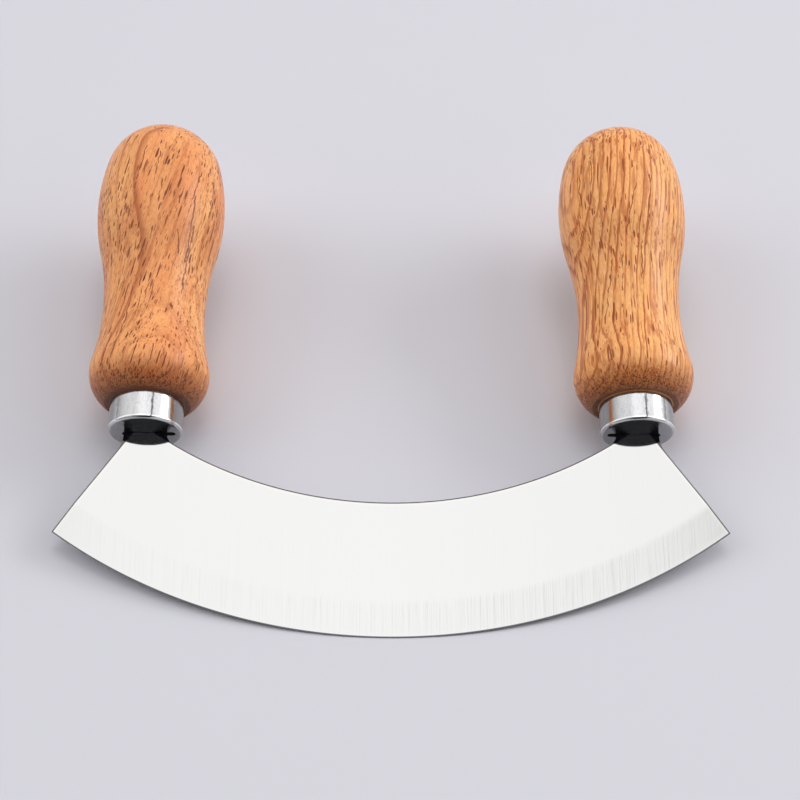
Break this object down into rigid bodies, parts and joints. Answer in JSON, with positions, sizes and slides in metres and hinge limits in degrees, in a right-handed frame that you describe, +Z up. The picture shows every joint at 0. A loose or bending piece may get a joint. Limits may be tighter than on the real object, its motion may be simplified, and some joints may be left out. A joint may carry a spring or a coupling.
{
  "type": "mezzaluna",
  "caption": "Rocking herb chopper: a curved, edge-ground steel blade with a turned wooden handle and a polished slotted ferrule at each end.",
  "frame": {"origin": "on the table under the middle of the part's box, as the chopper lies at rest on its cutting edge and the bases of its handles", "axes": "+X along the blade, +Y level from the cutting edge towards the handles' tops, +Z up"},
  "size_m": [0.178, 0.1522, 0.0468],
  "materials": {
    "blade_steel": "fine satin, with cross-ground bands along the edge",
    "ferrule_chrome": "mirror polished",
    "wood_left": "oiled, satin, open pores",
    "wood_right": "oiled, satin, open pores",
    "resin": "cured adhesive"
  },
  "bodies": {
    "root": {"blade": "blade_steel", "ferrule_left": "ferrule_chrome", "ferrule_right": "ferrule_chrome", "handle_left": "wood_left", "handle_right": "wood_right", "adhesive_left": "resin", "adhesive_right": "resin"}
  },
  "joints": []
}
